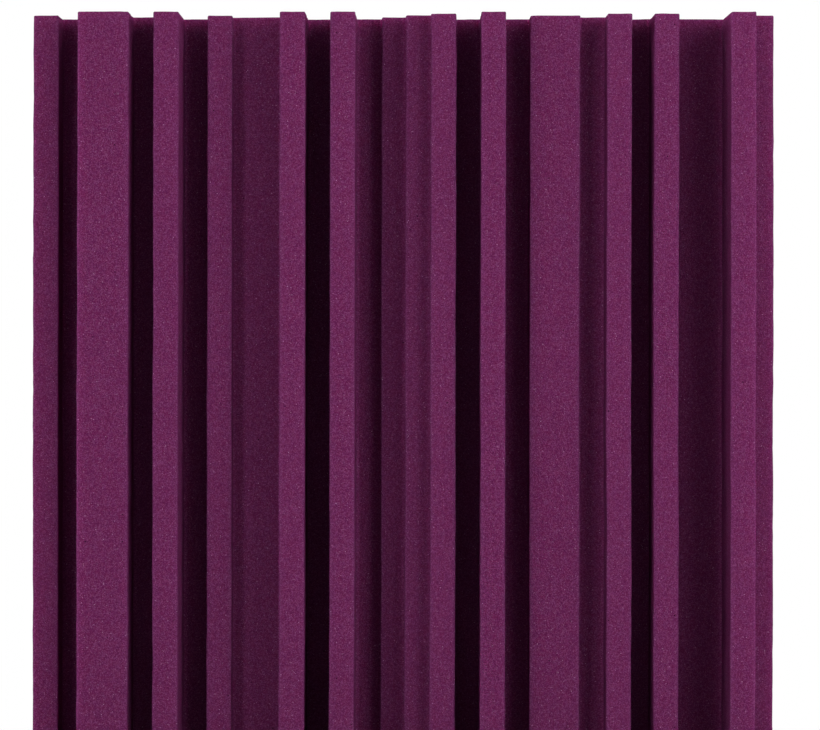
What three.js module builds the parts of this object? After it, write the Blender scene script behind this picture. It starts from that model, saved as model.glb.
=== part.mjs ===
// Acoustic foam wall tile with stepped upright ridges, and the adhesive squares that fix it to a wall.
// Millimetres. X runs across the tile, Z up it, and the ridges face -Y.
// The origin is on the wall plane, behind the middle of the tile.
import * as THREE from "three";

// Foam tile: one block, its relief cut with a hot wire or a profile saw in straight upright steps
const tileWidth = 304.8;
const tileHeight = 304.8;
const tileThickness = 50.8;
const webThickness = 12.7;

// Steps from the tile's left edge to its right: how many strips wide, and how far up the relief.
// A strip is the cutter's pitch, and the steps wander from it by a few hundredths.
const stepShares = [
  { strips: 1.02, rise: 0.5 },
  { strips: 0.95, rise: 0 },
  { strips: 2.04, rise: 1 },
  { strips: 0.99, rise: 0.25 },
  { strips: 1.01, rise: 1 },
  { strips: 1.05, rise: 0 },
  { strips: 1.01, rise: 0.5 },
  { strips: 1.98, rise: 0.25 },
  { strips: 1.02, rise: 1 },
  { strips: 1, rise: 0 },
  { strips: 1, rise: 1 },
  { strips: 1.03, rise: 0 },
  { strips: 0.98, rise: 0.25 },
  { strips: 1.01, rise: 0.5 },
  { strips: 1.03, rise: 0.75 },
  { strips: 0.99, rise: 0 },
  { strips: 0.99, rise: 1 },
  { strips: 1.03, rise: 0 },
  { strips: 2.03, rise: 0.5 },
  { strips: 1.04, rise: 0.25 },
  { strips: 1, rise: 0.75 },
  { strips: 0.9, rise: 0 },
  { strips: 1, rise: 0.75 },
  { strips: 2, rise: 0 },
  { strips: 1, rise: 1 },
  { strips: 0.9, rise: 0.5 },
];

// Adhesive squares: double-sided foam tape, one in the middle and one near each corner
const tabSize = 50;
const tabThickness = 1;
const tabCornerRadius = 3;
const tabInset = 25;
const tabCornerSegments = 6;

const reliefDepth = tileThickness - webThickness;
const stripPitch = tileWidth / stepShares.reduce((total, step) => total + step.strips, 0);

const foamMaterial = new THREE.MeshStandardMaterial({ color: 0x6a2c58, roughness: 1, metalness: 0 });
const tabMaterial = new THREE.MeshStandardMaterial({ color: 0xe6e3da, roughness: 0.7, metalness: 0 });

// Foam tile
// The section across the ridges, drawn from the back left corner and closed along the flat back.
function makeTileSection() {
  const backY = -tabThickness;
  const section = new THREE.Shape();
  let x = -tileWidth / 2;
  section.moveTo(x, backY);
  for (const { strips, rise } of stepShares) {
    const frontY = backY - webThickness - rise * reliefDepth;
    section.lineTo(x, frontY);
    x += strips * stripPitch;
    section.lineTo(x, frontY);
  }
  section.lineTo(x, backY);
  section.closePath();
  return section;
}

function makeFoamTile() {
  const geometry = new THREE.ExtrudeGeometry(makeTileSection(), {
    depth: tileHeight,
    bevelEnabled: false,
  });
  const tile = new THREE.Mesh(geometry, foamMaterial);
  tile.name = "foam_panel";
  tile.position.z = -tileHeight / 2;
  return tile;
}

// Adhesive squares
function makeTabOutline() {
  const half = tabSize / 2;
  const r = tabCornerRadius;
  const outline = new THREE.Shape();
  outline.moveTo(-half + r, -half);
  outline.lineTo(half - r, -half);
  outline.absarc(half - r, -half + r, r, -Math.PI / 2, 0, false);
  outline.absarc(half - r, half - r, r, 0, Math.PI / 2, false);
  outline.absarc(-half + r, half - r, r, Math.PI / 2, Math.PI, false);
  outline.absarc(-half + r, -half + r, r, Math.PI, Math.PI * 1.5, false);
  return outline;
}

// The square is drawn flat, then stood up so that its front glues to the foam and its back is the wall plane.
function makeMountingTab(name, across, up) {
  const geometry = new THREE.ExtrudeGeometry(makeTabOutline(), {
    depth: tabThickness,
    curveSegments: tabCornerSegments,
    bevelEnabled: false,
  });
  geometry.rotateX(Math.PI / 2);
  const tab = new THREE.Mesh(geometry, tabMaterial);
  tab.name = name;
  tab.position.set(
    across * (tileWidth / 2 - tabInset - tabSize / 2),
    0,
    up * (tileHeight / 2 - tabInset - tabSize / 2),
  );
  return tab;
}

const group = new THREE.Group();
group.add(makeFoamTile());
group.add(makeMountingTab("mounting_tab_centre", 0, 0));
for (const [row, up] of [["top", 1], ["bottom", -1]]) {
  for (const [side, across] of [["left", -1], ["right", 1]]) {
    group.add(makeMountingTab(`mounting_tab_${row}_${side}`, across, up));
  }
}

export default group;
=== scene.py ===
"""Looks of a stepped acoustic foam wall tile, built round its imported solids.

Metres, in the solids' own frame: X across the tile, Z up it, ridges facing -Y, wall plane at Y = 0.
"""

from __future__ import annotations

import logging
import math
from contextlib import contextmanager
from dataclasses import dataclass
from enum import Enum
from typing import Callable, Iterable, Iterator, Mapping, Sequence

import bmesh
import bpy
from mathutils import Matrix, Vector


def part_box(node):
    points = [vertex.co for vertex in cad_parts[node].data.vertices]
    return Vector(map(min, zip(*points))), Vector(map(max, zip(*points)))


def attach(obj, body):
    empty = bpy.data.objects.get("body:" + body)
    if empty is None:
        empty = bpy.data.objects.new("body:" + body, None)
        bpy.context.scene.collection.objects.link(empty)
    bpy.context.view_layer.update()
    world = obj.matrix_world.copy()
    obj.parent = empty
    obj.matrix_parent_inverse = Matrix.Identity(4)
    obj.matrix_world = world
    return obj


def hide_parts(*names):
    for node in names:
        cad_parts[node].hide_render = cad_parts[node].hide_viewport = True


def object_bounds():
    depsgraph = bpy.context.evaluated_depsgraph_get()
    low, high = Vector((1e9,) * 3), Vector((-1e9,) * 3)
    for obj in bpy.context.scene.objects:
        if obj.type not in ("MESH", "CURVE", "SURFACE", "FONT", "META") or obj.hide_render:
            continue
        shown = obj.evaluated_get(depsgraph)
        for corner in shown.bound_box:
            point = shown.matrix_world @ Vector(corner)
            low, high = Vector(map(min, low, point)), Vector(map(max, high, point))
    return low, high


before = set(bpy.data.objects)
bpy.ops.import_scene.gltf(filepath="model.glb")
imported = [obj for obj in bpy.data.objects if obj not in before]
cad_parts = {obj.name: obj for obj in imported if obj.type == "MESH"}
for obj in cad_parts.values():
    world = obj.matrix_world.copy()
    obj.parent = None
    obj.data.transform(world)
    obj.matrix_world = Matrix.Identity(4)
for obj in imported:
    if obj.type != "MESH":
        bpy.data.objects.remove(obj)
solid_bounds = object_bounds()

Colour = tuple[float, float, float]
Span = tuple[float, float]

MM = 0.001
TOLERANCE = 0.01 * MM
# Coordinates are rounded to a micrometre when they are compared.
DIGITS = 6
# Noise and drawn numbers run from 0 to 1, and a cell's reach from 0 to about a half.
HALF = 0.5
WHITE: Colour = (1.0, 1.0, 1.0)
# How far a unit normal or edge goes along an axis when it counts as lying along it.
FACING = 0.99
ALONG = 0.999
BODY = "root"

log = logging.getLogger("foam_tile")


class Axis(Enum):
    """The frame's axes, by what they mean on the tile."""

    ACROSS = (1.0, 0.0, 0.0)
    DEEP = (0.0, 1.0, 0.0)
    UP = (0.0, 0.0, 1.0)


class Spread(Enum):
    """Which way a surface is pushed when it is made uneven."""

    SIDEWAYS = "X"
    OUTWARD = "NORMAL"


class Element(Enum):
    """What is selected in edit mode."""

    POINT = "VERT"
    EDGE = "EDGE"
    FACE = "FACE"


class Slot(Enum):
    """The record's slots for finishes."""

    FOAM = "foam"
    TAPE = "foam_tape"


class Value:
    """A number, colour or vector that varies over a surface.

    Python arithmetic on a number adds Math nodes.
    """

    def __init__(self, graph: Graph, socket: bpy.types.NodeSocket) -> None:
        """Wraps an output socket of a graph."""
        self.graph = graph
        self.socket = socket

    def _with(self, operation: str, *operands: Value | float) -> Value:
        """Adds a Math node.

        Args:
            operation: Blender's name of the operation.
            operands: The node's inputs in order.

        Returns:
            The node's result.
        """
        inputs = dict(enumerate(operands))
        return self.graph.value("ShaderNodeMath", {"operation": operation}, inputs)

    def __add__(self, other: Value | float) -> Value:
        """Sum."""
        return self._with("ADD", self, other)

    def __radd__(self, other: float) -> Value:
        """Sum, with a number on the left."""
        return self._with("ADD", other, self)

    def __sub__(self, other: Value | float) -> Value:
        """Difference."""
        return self._with("SUBTRACT", self, other)

    def __rsub__(self, other: float) -> Value:
        """Difference, with a number on the left."""
        return self._with("SUBTRACT", other, self)

    def __mul__(self, other: Value | float) -> Value:
        """Product."""
        return self._with("MULTIPLY", self, other)

    def __rmul__(self, other: float) -> Value:
        """Product, with a number on the left."""
        return self._with("MULTIPLY", other, self)

    def __pow__(self, power: float) -> Value:
        """Power."""
        return self._with("POWER", self, power)

    def __gt__(self, other: Value | float) -> Value:
        """One where it is greater, else zero."""
        return self._with("GREATER_THAN", self, other)

    def __lt__(self, other: Value | float) -> Value:
        """One where it is less, else zero."""
        return self._with("LESS_THAN", self, other)

    def between(self, low: float, high: float) -> Value:
        """Stretches a span of the value to 0 at low and 1 at high, smoothly.

        Args:
            low: The value that becomes 0. It may be the larger of the two.
            high: The value that becomes 1.

        Returns:
            The stretched value.
        """
        settings = {"interpolation_type": "SMOOTHSTEP"}
        if low < high:
            return self.graph.value(
                "ShaderNodeMapRange", settings, {"Value": self, "From Min": low, "From Max": high}
            )
        return 1.0 - self.graph.value(
            "ShaderNodeMapRange", settings, {"Value": self, "From Min": high, "From Max": low}
        )


class Graph:
    """The nodes of one material or of the world."""

    # A colour mix goes by socket numbers, because its sockets share their names with a number mix.
    MIX_LOW = 6
    MIX_HIGH = 7
    MIX_RESULT = 2

    def __init__(self, tree: bpy.types.NodeTree) -> None:
        """Starts from an empty tree."""
        self.tree = tree
        self.tree.nodes.clear()

    def node(
        self,
        kind: str,
        settings: Mapping[str, object] | None = None,
        inputs: Mapping[str | int, object] | None = None,
    ) -> bpy.types.Node:
        """Adds any node.

        Args:
            kind: The node's type.
            settings: Its own settings, set first.
            inputs: For each input socket, by name or number, its number, colour or link.

        Returns:
            The node.
        """
        made = self.tree.nodes.new(kind)
        for name, setting in (settings or {}).items():
            setattr(made, name, setting)
        for name, given in (inputs or {}).items():
            if isinstance(given, Value):
                self.tree.links.new(given.socket, made.inputs[name])
            elif isinstance(given, bpy.types.NodeSocket):
                self.tree.links.new(given, made.inputs[name])
            elif isinstance(given, tuple) and len(given) < len(made.inputs[name].default_value):
                made.inputs[name].default_value = (*given, 1.0)
            else:
                made.inputs[name].default_value = given
        return made

    def value(
        self,
        kind: str,
        settings: Mapping[str, object] | None = None,
        inputs: Mapping[str | int, object] | None = None,
        output: str | int = 0,
    ) -> Value:
        """Adds a node and wraps one of its outputs.

        Args:
            kind: The node's type.
            settings: Its own settings.
            inputs: Its inputs, as node() takes them.
            output: The output's name or number.

        Returns:
            The output.
        """
        return Value(self, self.node(kind, settings, inputs).outputs[output])

    def mix(self, factor: Value, low: Value | Colour, high: Value | Colour) -> Value:
        """Mixes two colours.

        Args:
            factor: 0 gives the first colour and 1 the second.
            low: The first colour.
            high: The second colour.

        Returns:
            The mixed colour.
        """
        inputs = {"Factor": factor, self.MIX_LOW: low, self.MIX_HIGH: high}
        return self.value("ShaderNodeMix", {"data_type": "RGBA"}, inputs, self.MIX_RESULT)

    def vectors(self, operation: str, *operands: Value | tuple[float, ...]) -> Value:
        """Adds a Vector Math node.

        Args:
            operation: Blender's name of the operation.
            operands: The vectors in order.

        Returns:
            The resulting vector.
        """
        inputs = dict(enumerate(operands))
        return self.value("ShaderNodeVectorMath", {"operation": operation}, inputs)

    def shade(self, colour: Value, amount: Value) -> Value:
        """Multiplies a colour by a number.

        Args:
            colour: The colour.
            amount: The number.

        Returns:
            The shaded colour.
        """
        inputs = {"Vector": colour, "Scale": amount}
        return self.value("ShaderNodeVectorMath", {"operation": "SCALE"}, inputs)

    def place(self) -> Value:
        """The point on the piece, in metres."""
        return self.value("ShaderNodeTexCoord", output="Object")

    def length(self, vector: Value) -> Value:
        """How long a vector is."""
        settings = {"operation": "LENGTH"}
        return self.value("ShaderNodeVectorMath", settings, {"Vector": vector}, "Value")

    def noise(self, place: Value, size: float, detail: float = 2.0) -> Value:
        """Cloudy noise, around a half.

        Args:
            place: Where it is read.
            size: How far apart its blobs are, in metres.
            detail: How many finer layers it has.

        Returns:
            The noise.
        """
        inputs = {"Vector": place, "Scale": 1.0 / size, "Detail": detail}
        return self.value("ShaderNodeTexNoise", {}, inputs, "Fac")

    def cells(self, place: Value, size: float) -> Cells:
        """Foam-like cells.

        Args:
            place: Where they are read.
            size: How far apart their middles are, in metres.

        Returns:
            The distance from the middle of the cell, and a number that differs from cell to cell.
        """
        made = self.node("ShaderNodeTexVoronoi", {}, {"Vector": place, "Scale": 1.0 / size})
        drawn = self.value("ShaderNodeSeparateColor", {}, {"Color": made.outputs["Color"]}, "Red")
        return Cells(Value(self, made.outputs["Distance"]), drawn)


@dataclass(frozen=True)
class Cells:
    """What a cell pattern gives at a point."""

    from_middle: Value
    drawn: Value


@dataclass(frozen=True)
class OpenCellFoam:
    """Dyed open-cell foam, cut by a wire: fine cells and open pores. Painted shade darkens the cell
    hollows and the pores. Painted glints, sparkles on a few struts and a glow at outward corners
    stand in for light.
    """

    warm: Colour = (0.132, 0.0140, 0.075)
    cool: Colour = (0.124, 0.0144, 0.081)
    # Painted edge glow: a paler tint at outward corners that stands in for light passing through
    # the foam there.
    painted_edge_glow_colour: Colour = (0.131, 0.0203, 0.092)
    # Painted glints: a whiter tint in some cells that stands in for light catching the cell walls.
    painted_glint_colour: Colour = (0.290, 0.137, 0.250)
    # Painted sparkles: a few near-white dots on the struts that stand in for light glancing off
    # them.
    painted_sparkle_colour: Colour = (0.44, 0.25, 0.40)
    # Painted shade: a near-black tint in the open pores that stands in for the shade inside them.
    painted_pore_shade_colour: Colour = (0.018, 0.003, 0.012)
    cell: float = 0.30 * MM
    grain_contrast: float = 0.40
    # Painted shade: each cell is darker towards its middle, where the bump sinks the surface.
    painted_hollow_shade_span: Span = (0.1, 0.5)
    painted_glint_share: float = 0.3
    blotch: float = 1.6 * MM
    blotch_span: Span = (0.35, 0.65)
    cloud: float = 45 * MM
    cloud_contrast: float = 0.08
    strut_spacing: float = 0.45 * MM
    painted_sparkle_share: float = 0.06
    painted_sparkle_width_share: float = 0.36
    dullest_painted_sparkle: float = 0.2
    painted_sparkle_skew: float = 4.0
    pore_spacing: float = 3 * MM
    pore_share: float = 0.06
    pore_width_share: float = 0.07
    pore_softness: float = 1.4
    pore_depth_share: float = 4.0
    relief: float = 0.3 * MM
    bump_strength: float = 0.6
    roughness: float = 0.95
    see_in: tuple[float, float, float] = (5.0 * MM, 2.0 * MM, 3.5 * MM)

    def material(self) -> bpy.types.Material:
        """Makes the material.

        Returns:
            The material.
        """
        made = bpy.data.materials.new("open_cell_foam")
        made.use_nodes = True
        graph = Graph(made.node_tree)
        place = graph.place()
        grain = graph.cells(place, self.cell)
        struts = graph.cells(place, self.strut_spacing)
        pores = graph.cells(place, self.pore_spacing)
        # Painted edge glow: outward corners are tinted paler, standing in for light that passes
        # through the foam there.
        painted_edge_glow = graph.value("ShaderNodeAttribute", {"attribute_name": FoamTile.PAINTED_GLOW_ATTRIBUTE}, output="Fac")

        hue = graph.noise(place, self.blotch).between(*self.blotch_span)
        tint = graph.mix(hue, self.warm, self.cool)
        tint = graph.mix(painted_edge_glow, tint, self.painted_edge_glow_colour)
        cloud = 1.0 + (graph.noise(place, self.cloud) - HALF) * self.cloud_contrast
        speck = 1.0 + (grain.drawn - HALF) * self.grain_contrast
        # Painted shade: each cell is darkened towards its middle, where the bump sinks the surface.
        painted_hollow_shade = (HALF - grain.from_middle).between(*self.painted_hollow_shade_span)
        painted_hollow_shade = 1.0 - painted_hollow_shade * (self.grain_contrast / 2)
        tint = graph.shade(tint, cloud * speck * painted_hollow_shade)
        # Painted glints: some cells are tinted whiter, standing in for light catching the cell
        # walls.
        painted_glint = grain.drawn * grain.drawn * grain.drawn * self.painted_glint_share
        tint = graph.mix(painted_glint, tint, self.painted_glint_colour)

        # Painted sparkles: a few struts are tinted near white, standing in for light glancing off
        # them.
        is_painted_sparkle = (struts.drawn < self.painted_sparkle_share) * (struts.from_middle < self.painted_sparkle_width_share)
        pore = pores.from_middle.between(
            self.pore_width_share * self.pore_softness, self.pore_width_share
        )
        is_pore = (pores.drawn < self.pore_share) * pore
        painted_sparkle_strength = (1.0 - struts.drawn * (1.0 / self.painted_sparkle_share)) ** self.painted_sparkle_skew
        painted_sparkle_strength = self.dullest_painted_sparkle + painted_sparkle_strength * (1.0 - self.dullest_painted_sparkle)
        tint = graph.mix(is_painted_sparkle * painted_sparkle_strength, tint, self.painted_sparkle_colour)
        # Painted shade: open pores are tinted near black, standing in for the shade inside them;
        # the bump also sinks them.
        tint = graph.mix(is_pore, tint, self.painted_pore_shade_colour)

        height = grain.from_middle * self.relief - is_pore * (self.pore_depth_share * self.relief)
        bump = graph.value(
            "ShaderNodeBump",
            {},
            {"Strength": self.bump_strength, "Distance": 1.0, "Height": height},
        )
        shader = graph.node(
            "ShaderNodeBsdfPrincipled",
            {"subsurface_method": "BURLEY"},
            {
                "Base Color": tint,
                "Roughness": self.roughness,
                "Specular IOR Level": 0.0,
                "Subsurface Weight": 1.0,
                "Subsurface Radius": self.see_in,
                "Subsurface Scale": 1.0,
                "Normal": bump,
            },
        )
        graph.node("ShaderNodeOutputMaterial", {}, {"Surface": shader.outputs["BSDF"]})
        return made


@dataclass(frozen=True)
class TackyTape:
    """White foam tape whose faces are coated with a clear tacky glue."""

    colour: Colour = (0.78, 0.76, 0.70)
    glue_colour: Colour = (0.74, 0.69, 0.55)
    cell: float = 0.25 * MM
    cell_depth: float = 0.04 * MM
    darkest_cell: float = 0.94
    cell_contrast: float = 0.1
    smear: float = 6 * MM
    smear_detail: float = 4.0
    smear_span: Span = (0.35, 0.7)
    ripple: float = 1.6 * MM
    ripple_detail: float = 3.0
    ripple_depth: float = 0.15 * MM
    bump_strength: float = 0.5
    bare_roughness: float = 0.32
    smear_roughness: float = 0.3

    def material(self) -> bpy.types.Material:
        """Makes the material.

        Returns:
            The material.
        """
        made = bpy.data.materials.new("foam_tape")
        made.use_nodes = True
        graph = Graph(made.node_tree)
        place = graph.place()
        smear = graph.noise(place, self.smear, self.smear_detail).between(*self.smear_span)
        foam = graph.cells(place, self.cell)
        ripple = graph.noise(place, self.ripple, self.ripple_detail)
        colour = graph.mix(smear, self.colour, self.glue_colour)
        colour = graph.shade(colour, self.darkest_cell + foam.drawn * self.cell_contrast)
        height = ripple * self.ripple_depth + foam.from_middle * self.cell_depth
        bump = graph.value(
            "ShaderNodeBump",
            {},
            {"Strength": self.bump_strength, "Distance": 1.0, "Height": height},
        )
        shader = graph.node(
            "ShaderNodeBsdfPrincipled",
            {},
            {
                "Base Color": colour,
                "Roughness": self.bare_roughness + smear * self.smear_roughness,
                "Normal": bump,
            },
        )
        graph.node("ShaderNodeOutputMaterial", {}, {"Surface": shader.outputs["BSDF"]})
        return made


@dataclass(frozen=True)
class PaleFloor:
    """A pale matt floor that keeps the tile's shadow near it and runs out to plain white.

    Light that has bounced sees it darker, so that it lights the tile less from below.
    """

    seen_colour: Colour = (0.85, 0.85, 0.85)
    bounce_colour: Colour = (0.35, 0.35, 0.35)
    shadow_reach: float = 70 * MM
    roughness: float = 0.9

    def material(self, low: Vector, high: Vector) -> bpy.types.Material:
        """Makes the material.

        Args:
            low: The lowest corner of what stands on the floor.
            high: Its highest corner.

        Returns:
            The material.
        """
        made = bpy.data.materials.new("pale_floor")
        made.use_nodes = True
        graph = Graph(made.node_tree)
        middle = ((low.x + high.x) / 2, (low.y + high.y) / 2, low.z)
        half = ((high.x - low.x) / 2, (high.y - low.y) / 2, 0.0)
        place = graph.vectors("SUBTRACT", graph.place(), middle)
        outside = graph.vectors("SUBTRACT", graph.vectors("ABSOLUTE", place), half)
        outside = graph.vectors("MAXIMUM", outside, (0.0, 0.0, 0.0))
        away = graph.length(outside).between(0.0, self.shadow_reach)
        seen = graph.value("ShaderNodeLightPath", output="Is Camera Ray")
        colour = graph.mix(seen, self.bounce_colour, self.seen_colour)
        inputs = {"Base Color": colour, "Roughness": self.roughness}
        matt = graph.node("ShaderNodeBsdfPrincipled", {}, inputs)
        white = graph.node("ShaderNodeEmission", {}, {"Color": WHITE, "Strength": 1.0})
        mixed = graph.node(
            "ShaderNodeMixShader",
            {},
            {0: seen * away, 1: matt.outputs["BSDF"], 2: white.outputs["Emission"]},
        )
        graph.node("ShaderNodeOutputMaterial", {}, {"Surface": mixed.outputs["Shader"]})
        return made


class Workbench:
    """Models one piece from a block, with the tools of edit mode and modifiers that are applied."""

    FLAT_ANGLE = math.radians(1)
    CORNER_ANGLE = math.radians(60)

    def __init__(self, name: str, low: Vector, high: Vector) -> None:
        """Starts the piece as a block.

        Args:
            name: The piece's name.
            low: The block's lowest corner.
            high: The block's highest corner.
        """
        bpy.ops.object.select_all(action="DESELECT")
        bpy.ops.mesh.primitive_cube_add(size=1, location=(low + high) / 2, scale=high - low)
        self.piece = bpy.context.active_object
        self.piece.name = name
        self.piece.data.name = name
        bpy.ops.object.transform_apply(location=True, rotation=True, scale=True)

    @contextmanager
    def editing(self, element: Element) -> Iterator[bmesh.types.BMesh]:
        """Edit mode for the length of a with block.

        Args:
            element: What is selected there.

        Yields:
            The mesh as edit mode holds it, with nothing selected.
        """
        bpy.context.view_layer.objects.active = self.piece
        bpy.ops.object.mode_set(mode="EDIT")
        bpy.ops.mesh.select_mode(type=element.value)
        bpy.ops.mesh.select_all(action="DESELECT")
        yield bmesh.from_edit_mesh(self.piece.data)
        bpy.ops.object.mode_set(mode="OBJECT")

    def cut(self, axis: Axis, places: Iterable[float]) -> None:
        """Cuts the piece through by planes square to an axis.

        Args:
            axis: The axis.
            places: Where the planes lie on it.
        """
        with self.editing(Element.FACE):
            for place in places:
                bpy.ops.mesh.select_all(action="SELECT")
                bpy.ops.mesh.bisect(plane_co=Vector(axis.value) * place, plane_no=axis.value)

    def extrude_faces(self, chosen: Callable[[bmesh.types.BMFace], bool], move: Vector) -> None:
        """Extrudes some faces.

        Args:
            chosen: Says which.
            move: How far and which way.
        """
        with self.editing(Element.FACE) as mesh:
            for face in mesh.faces:
                face.select_set(chosen(face))
            bmesh.update_edit_mesh(self.piece.data)
            bpy.ops.mesh.extrude_region_move(TRANSFORM_OT_translate={"value": tuple(move)})

    def merge_flat(self) -> None:
        """Merges faces that lie in one plane."""
        with self.editing(Element.FACE):
            bpy.ops.mesh.select_all(action="SELECT")
            bpy.ops.mesh.dissolve_limited(angle_limit=self.FLAT_ANGLE)

    def select_along(self, mesh: bmesh.types.BMesh, axis: Axis) -> None:
        """Selects the edges that run along an axis.

        Args:
            mesh: The mesh in edit mode.
            axis: The axis.
        """
        for edge in mesh.edges:
            run = edge.verts[1].co - edge.verts[0].co
            edge.select_set(abs(run.dot(Vector(axis.value))) > ALONG * run.length)
        bmesh.update_edit_mesh(self.piece.data)

    def round_along(self, axis: Axis, radius: float, segments: int) -> None:
        """Rounds the edges that run along an axis.

        Args:
            axis: The axis.
            radius: The round's radius.
            segments: How many flats make the round.
        """
        with self.editing(Element.EDGE) as mesh:
            self.select_along(mesh, axis)
            bpy.ops.mesh.bevel(offset=radius, segments=segments, affect="EDGES")

    def round_corners(self, radius: float, segments: int) -> None:
        """Rounds every outward corner. Inward ones stay crisp, as a wire cuts them.

        Args:
            radius: The round's radius.
            segments: How many flats make the round.
        """
        with self.editing(Element.EDGE) as mesh:
            for edge in mesh.edges:
                edge.select_set(edge.is_convex and edge.calc_face_angle(0.0) > self.CORNER_ANGLE)
            bmesh.update_edit_mesh(self.piece.data)
            bpy.ops.mesh.bevel(offset=radius, segments=segments, affect="EDGES")

    def skew_end(self, height: float, move: float, slope: float, pivot: Vector) -> None:
        """Sets one sawn end a little out of square.

        Args:
            height: Where the end is.
            move: How far it shifts across.
            slope: The angle that it tilts by, front to back.
            pivot: The point that it tilts about.
        """
        with self.editing(Element.POINT) as mesh:
            for vertex in mesh.verts:
                vertex.select_set(abs(vertex.co.z - height) < TOLERANCE)
            mesh.select_flush(True)
            bmesh.update_edit_mesh(self.piece.data)
            bpy.ops.transform.translate(value=(move, 0, 0))
            # With no window the operator turns the other way.
            bpy.ops.transform.rotate(value=-slope, orient_axis="X", center_override=pivot)

    def divide_along(self, axis: Axis, cuts: int) -> None:
        """Divides the edges that run along an axis, and the faces between them.

        Args:
            axis: The axis.
            cuts: How many cuts each edge gets.
        """
        with self.editing(Element.EDGE) as mesh:
            self.select_along(mesh, axis)
            bpy.ops.mesh.subdivide(number_cuts=cuts)

    def roughen(self, size: float, strength: float, spread: Spread, level: float = HALF) -> None:
        """Makes the surface uneven with cloudy noise.

        Args:
            size: How far apart the noise's blobs are.
            strength: How far the brightest noise lies from the darkest.
            spread: Which way points are pushed.
            level: The noise that leaves a point where it is.
        """
        texture = bpy.data.textures.new("unevenness", "CLOUDS")
        texture.noise_scale = size
        texture.noise_depth = 1
        modifier = self.piece.modifiers.new("unevenness", "DISPLACE")
        modifier.texture = texture
        modifier.texture_coords = "LOCAL"
        modifier.direction = spread.value
        modifier.strength = strength
        modifier.mid_level = level
        self.apply(modifier)

    def apply(self, modifier: bpy.types.Modifier) -> None:
        """Applies a modifier."""
        bpy.context.view_layer.objects.active = self.piece
        bpy.ops.object.modifier_apply(modifier=modifier.name)

    def finish(self, material: bpy.types.Material, slot: Slot, node: str) -> bpy.types.Object:
        """Smooths the piece, dresses it and puts it in the place of its solid.

        Args:
            material: Its material.
            slot: The record's slot for its finish. Not used.
            node: The solid that it stands for.

        Returns:
            The piece.
        """
        bpy.ops.object.select_all(action="DESELECT")
        self.piece.select_set(True)
        bpy.context.view_layer.objects.active = self.piece
        bpy.ops.object.shade_smooth()
        self.apply(self.piece.modifiers.new("face_weighted", "WEIGHTED_NORMAL"))
        self.piece.data.materials.append(material)
        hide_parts(node)
        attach(self.piece, BODY)
        return self.piece


@dataclass(frozen=True)
class Step:
    """One step of the tile's relief."""

    left: float
    right: float
    front: float


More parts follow.
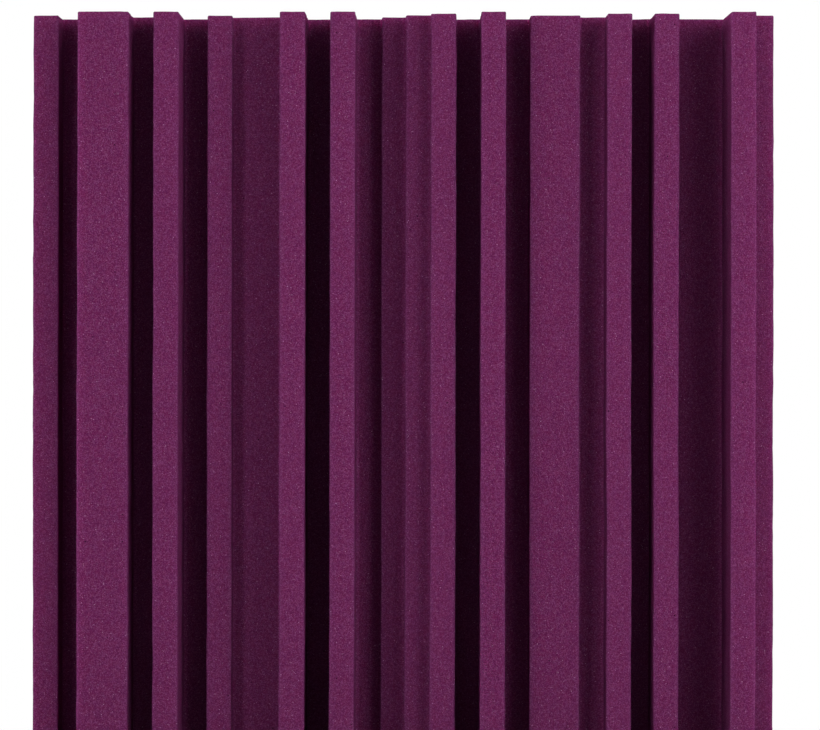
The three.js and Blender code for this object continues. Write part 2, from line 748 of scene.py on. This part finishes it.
@dataclass
class FoamTile:
    """The foam block: a web with straight upright steps of several depths."""

    # Name of the point attribute that weights the painted edge glow.
    PAINTED_GLOW_ATTRIBUTE = "painted_edge_glow"

    node: str = "foam_panel"
    lean: float = 0.6 * MM
    saw_slope: float = math.radians(1.2)
    corner_radius: float = 0.55 * MM
    corner_segments: int = 3
    band_places: tuple[float, ...] = (1.7 * MM, 3.4 * MM)
    painted_glow_width: float = 2.2 * MM
    painted_glow_falloff: int = 2
    rows: int = 100
    wander_size: float = 80 * MM
    wander: float = 0.5 * MM
    sag_size: float = 14 * MM
    sag: float = 0.35 * MM
    fray_size: float = 3.2 * MM
    fray: float = 0.22 * MM

    def steps(self) -> list[Step]:
        """Reads the steps from the solid's front faces.

        Returns:
            The steps from left to right.
        """
        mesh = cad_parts[self.node].data
        found = set()
        for face in mesh.polygons:
            if face.normal.y < -FACING:
                corners = [mesh.vertices[i].co for i in face.vertices]
                across = [round(corner.x, DIGITS) for corner in corners]
                found.add((min(across), max(across), round(corners[0].y, DIGITS)))
        return [Step(*each) for each in sorted(found)]

    def carve(self, bench: Workbench, steps: Sequence[Step]) -> None:
        """Raises the steps from the web, one level at a time.

        Args:
            bench: The web as a block.
            steps: The steps.
        """
        bench.cut(Axis.ACROSS, [step.left for step in steps[1:]])
        levels = sorted({step.front for step in steps}, reverse=True)

        def rises(face: bmesh.types.BMFace, deeper: float, nearer: float) -> bool:
            """Whether a front face goes on from one level to the next.

            Args:
                face: The face.
                deeper: The level that it may lie on.
                nearer: The next level towards the front.

            Returns:
                Whether it lies there, and its step reaches at least the next level.
            """
            middle = face.calc_center_median()
            if face.normal.y > -FACING or abs(middle.y - deeper) > TOLERANCE:
                return False
            return any(s.left < middle.x < s.right and s.front < nearer + TOLERANCE for s in steps)

        for deeper, nearer in zip(levels, levels[1:]):
            bench.extrude_faces(
                lambda face, d=deeper, n=nearer: rises(face, d, n), Vector((0, nearer - deeper, 0))
            )
        bench.merge_flat()

    def divide(self, bench: Workbench, steps: Sequence[Step], back: float) -> None:
        """Divides the faces: narrow bands beside each corner, and rows up the tile.

        Args:
            bench: The carved and rounded tile.
            steps: The steps.
            back: Where the back is.
        """
        across, deep = [], []
        for step in steps:
            across += [step.left + band for band in self.band_places]
            across += [(step.left + step.right) / 2]
            across += [step.right - band for band in self.band_places]
        for level in sorted({step.front for step in steps}):
            deep += [level + band for band in self.band_places]
            deep += [level - band for band in self.band_places]
        nearest = min(step.front for step in steps)
        bench.cut(Axis.ACROSS, across)
        bench.cut(Axis.DEEP, [place for place in deep if nearest < place < back])
        bench.divide_along(Axis.UP, self.rows)

    def mark_painted_edge_glow(
        self, piece: bpy.types.Object, steps: Sequence[Step], low: Vector, high: Vector
    ) -> None:
        """Stores how near each point is to an outward corner. This weights a painted edge glow, a
        paler tint there that stands in for light passing through the foam.

        Args:
            piece: The tile.
            steps: The steps.
            low: The tile's lowest corner.
            high: The tile's highest corner.
        """
        corners = [(low.x, steps[0].front), (low.x, high.y)]
        corners += [(high.x, steps[-1].front), (high.x, high.y)]
        for one, other in zip(steps, steps[1:]):
            corners.append((one.right, min(one.front, other.front)))
        painted_edge_glow = piece.data.attributes.new(self.PAINTED_GLOW_ATTRIBUTE, "FLOAT", "POINT")
        for vertex in piece.data.vertices:
            x, y, z = vertex.co
            x -= self.lean * z / (high.z - low.z)
            near = min(math.hypot(x - cx, y - cy) for cx, cy in corners)
            painted_edge_glow.data[vertex.index].value = max(0.0, 1.0 - near / self.painted_glow_width) ** self.painted_glow_falloff

    def build(self, finish: OpenCellFoam) -> bpy.types.Object:
        """Builds the tile.

        Args:
            finish: Its foam.

        Returns:
            The piece.
        """
        steps = self.steps()
        low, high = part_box(self.node)
        web_front = max(step.front for step in steps)
        bench = Workbench("foam_tile", Vector((low.x, web_front, low.z)), high)
        self.carve(bench, steps)
        front = min(step.front for step in steps)
        bench.skew_end(high.z, self.lean / 2, self.saw_slope, Vector((0, front, high.z)))
        bench.skew_end(low.z, -self.lean / 2, 0.0, Vector((0, front, low.z)))
        bench.round_corners(self.corner_radius, self.corner_segments)
        self.divide(bench, steps, high.y)
        self.mark_painted_edge_glow(bench.piece, steps, low, high)
        bench.roughen(self.wander_size, self.wander, Spread.SIDEWAYS)
        bench.roughen(self.sag_size, self.sag, Spread.OUTWARD)
        bench.roughen(self.fray_size, self.fray, Spread.OUTWARD)
        return bench.finish(finish.material(), Slot.FOAM, self.node)


@dataclass
class TapeSquare:
    """One square of foam tape on the tile's back."""

    node: str
    corner_radius: float = 3 * MM
    corner_segments: int = 6
    edge_radius: float = 0.15 * MM
    edge_segments: int = 2
    grid: float = 2.5 * MM
    dimple_size: float = 7 * MM
    dimple: float = 0.12 * MM

    def build(self, material: bpy.types.Material) -> bpy.types.Object:
        """Builds the square.

        Args:
            material: Its material, shared by all the squares.

        Returns:
            The piece.
        """
        low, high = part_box(self.node)
        bench = Workbench(self.node.replace("mounting_tab", "tape_square"), low, high)
        bench.round_along(Axis.DEEP, self.corner_radius, self.corner_segments)
        bench.round_corners(self.edge_radius, self.edge_segments)
        cuts = int((high.x - low.x) / self.grid)
        bench.cut(Axis.ACROSS, [low.x + i * self.grid for i in range(1, cuts)])
        bench.cut(Axis.UP, [low.z + i * self.grid for i in range(1, cuts)])
        bench.roughen(self.dimple_size, self.dimple, Spread.OUTWARD, level=1.0)
        return bench.finish(material, Slot.TAPE, self.node)


@dataclass(frozen=True)
class SoftBox:
    """A flat lamp that faces the tile's middle.

    Its angles are in degrees, its distance and sides in metres, and its power in watts.
    """

    name: str
    azimuth: float
    elevation: float
    distance: float
    width: float
    height: float
    power: float

    def place(self) -> bpy.types.Object:
        """Puts the lamp in the scene.

        Returns:
            The lamp.
        """
        turn, rise = math.radians(self.azimuth), math.radians(self.elevation)
        away = Vector(
            (math.sin(turn) * math.cos(rise), -math.cos(turn) * math.cos(rise), math.sin(rise))
        )
        lamp = bpy.data.lights.new(self.name, "AREA")
        lamp.shape = "RECTANGLE"
        lamp.size = self.width
        lamp.size_y = self.height
        lamp.energy = self.power
        made = bpy.data.objects.new(self.name, lamp)
        made.location = away * self.distance
        made.rotation_euler = away.to_track_quat("Z", "Y").to_euler()
        bpy.context.scene.collection.objects.link(made)
        return made


@dataclass
class Studio:
    """The floor, the lamps, the white surroundings and the camera."""

    # Each lamp's name, azimuth, elevation, distance, width, height and power.
    lamps: tuple[SoftBox, ...] = (
        SoftBox("right_near_softbox", 45, 5, 0.75, 0.12, 0.9, 2.4),
        SoftBox("right_softbox", 26, 7, 1.8, 0.4, 1.0, 6.8),
        SoftBox("right_close_strip", 26, 3, 0.45, 0.14, 0.6, 0.19),
        SoftBox("left_close_strip", -32, 3, 0.45, 0.07, 0.6, 0.37),
        SoftBox("left_softbox", -29, 7, 1.8, 0.2, 1.0, 4.8),
        SoftBox("left_side_strip", -66, 7, 1.8, 0.2, 1.0, 3.7),
        SoftBox("front_right_strip", 8, 8, 1.15, 0.17, 0.92, 0.30),
        SoftBox("front_left_strip", -8, 8, 1.15, 0.17, 0.92, 0.42),
        SoftBox("left_edge_light", -92, 7, 1.8, 0.4, 1.0, 30),
        SoftBox("right_edge_light", 112, 7, 1.8, 0.4, 1.0, 25),
        SoftBox("high_left_softbox", -25, 35, 1.8, 0.4, 0.4, 1.6),
        SoftBox("high_right_softbox", 60, 40, 1.8, 0.4, 0.4, 2.0),
        SoftBox("top_right_softbox", 50, 62, 1.8, 0.6, 0.5, 1.3),
        SoftBox("overhead_softbox", 0, 88, 1.8, 0.6, 0.5, 2.5),
        SoftBox("top_back_softbox", 150, 80, 1.8, 0.6, 0.5, 6),
        SoftBox("top_edge_light", 180, 55, 1.8, 0.6, 0.5, 26),
    )
    floor_size: float = 8.0
    surround_white: float = 1.0
    ambient: float = 0.057
    camera_place: tuple[float, float, float] = (0.0029, -1.4018, 0.0089)
    lens: float = 146.0
    sensor: float = 36.0
    upright: float = math.radians(90)

    def build(self) -> None:
        """Builds the studio round the tile, which stands on the floor."""
        bpy.ops.object.select_all(action="DESELECT")
        bpy.ops.mesh.primitive_plane_add(size=self.floor_size, location=(0, 0, solid_bounds[0].z))
        floor = bpy.context.active_object
        bpy.ops.object.transform_apply(location=True, rotation=True, scale=True)
        floor.name = "floor"
        floor.data.materials.append(PaleFloor().material(*solid_bounds))
        for lamp in self.lamps:
            lamp.place()
        self.surround()
        self.aim()

    def surround(self) -> None:
        """Makes the world white to the eye, and a low even light to the tile."""
        world = bpy.data.worlds.new("studio")
        world.use_nodes = True
        bpy.context.scene.world = world
        graph = Graph(world.node_tree)
        rays = graph.node("ShaderNodeLightPath")
        camera = Value(graph, rays.outputs["Is Camera Ray"])
        mirrored = Value(graph, rays.outputs["Is Glossy Ray"])
        through = Value(graph, rays.outputs["Is Transmission Ray"])
        shown = (camera + mirrored + through) > HALF
        strength = self.ambient + shown * (self.surround_white - self.ambient)
        light = graph.node("ShaderNodeBackground", {}, {"Color": WHITE, "Strength": strength})
        graph.node("ShaderNodeOutputWorld", {}, {"Surface": light.outputs["Background"]})

    def aim(self) -> None:
        """Places the camera level in front of the tile, looking along +Y."""
        lens = bpy.data.cameras.new("camera")
        lens.lens = self.lens
        lens.sensor_width = self.sensor
        camera = bpy.data.objects.new("camera", lens)
        camera.location = self.camera_place
        camera.rotation_euler = (self.upright, 0, 0)
        bpy.context.scene.collection.objects.link(camera)
        bpy.context.scene.camera = camera
        bpy.context.scene.view_settings.view_transform = "Standard"


def report(piece: bpy.types.Object) -> None:
    """Logs a piece's name and size.

    Args:
        piece: The piece.
    """
    triangles = sum(len(face.vertices) - 2 for face in piece.data.polygons)
    size = [round(length / MM, 1) for length in piece.dimensions]
    log.info("%s: %s mm, %d triangles", piece.name, size, triangles)


def main() -> None:
    """Builds the tile, its tape squares and the studio."""
    logging.basicConfig(level=logging.INFO, format="%(message)s")
    report(FoamTile().build(OpenCellFoam()))
    tape = TackyTape().material()
    for node in sorted(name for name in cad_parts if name.startswith("mounting_tab")):
        report(TapeSquare(node).build(tape))
    Studio().build()


if __name__ == "__main__":
    main()
